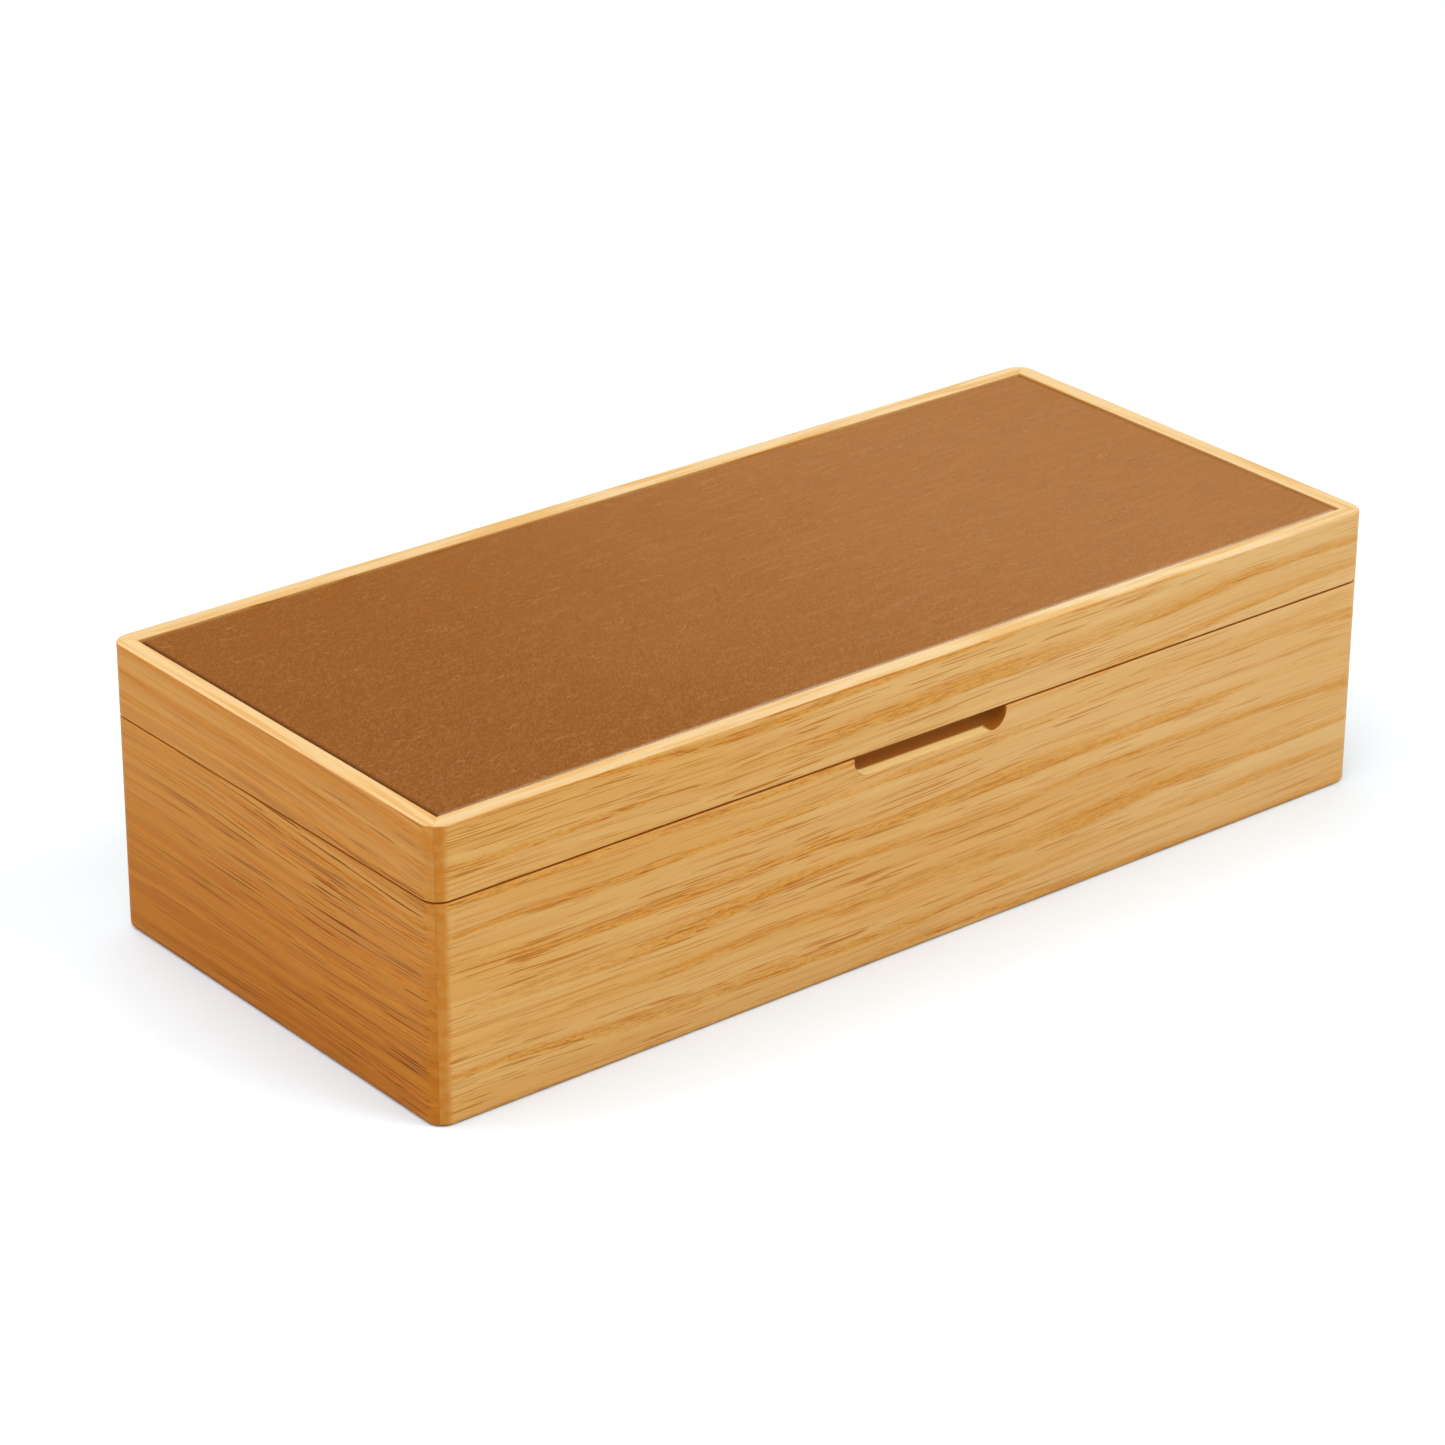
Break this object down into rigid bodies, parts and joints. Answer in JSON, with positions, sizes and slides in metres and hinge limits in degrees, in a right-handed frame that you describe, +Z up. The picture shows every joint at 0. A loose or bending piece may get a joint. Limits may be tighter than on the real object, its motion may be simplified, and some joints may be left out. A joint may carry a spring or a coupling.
{
  "type": "type case",
  "caption": "Lidded oak type case with mitred corners, a leather-covered lid inlay, a finger notch, brass stop hinges and a divider grid of letter compartments.",
  "frame": {"origin": "middle of the underside, on the surface the case stands on", "axes": "+X along the case to the right seen from the front, +Y to the back where the hinges are, +Z up; the finger notch is on the -Y side"},
  "size_m": [0.3, 0.1369, 0.078],
  "materials": {
    "oak": "satin clear finish",
    "panel": "plain oak-veneered plywood",
    "leather": "fine pebbled grain, satin",
    "felt": "matt felt",
    "brass": "satin brass"
  },
  "bodies": {
    "base": {"base_back_wall": "oak", "base_front_wall": "oak", "base_left_wall": "oak", "base_right_wall": "oak", "bottom_panel": "panel", "cross_divider_1": "oak", "cross_divider_2": "oak", "cross_divider_3": "oak", "cross_divider_4": "oak", "cross_divider_5": "oak", "cross_divider_6": "oak", "cross_divider_7": "oak", "cross_divider_8": "oak", "floor_lining": "felt", "left_hinge_base_leaf": "brass", "left_hinge_base_screw_1": "brass", "left_hinge_base_screw_2": "brass", "left_hinge_pin": "brass", "long_divider_1": "oak", "long_divider_2": "oak", "right_hinge_base_leaf": "brass", "right_hinge_base_screw_1": "brass", "right_hinge_base_screw_2": "brass", "right_hinge_pin": "brass"},
    "lid": {"inlay_board": "panel", "leather_cover": "leather", "left_hinge_lid_leaf": "brass", "left_hinge_lid_screw_1": "brass", "left_hinge_lid_screw_2": "brass", "lid_back_rail": "oak", "lid_front_rail": "oak", "lid_left_rail": "oak", "lid_lining": "felt", "lid_panel": "panel", "lid_right_rail": "oak", "right_hinge_lid_leaf": "brass", "right_hinge_lid_screw_1": "brass", "right_hinge_lid_screw_2": "brass"}
  },
  "joints": [
    {"name": "lid_hinge", "type": "hinge", "parent": "base", "child": "lid", "pos_m": [0, 0.0675, 0.0584], "axis": [-1, 0, 0], "range_deg": [0, 95]}
  ]
}
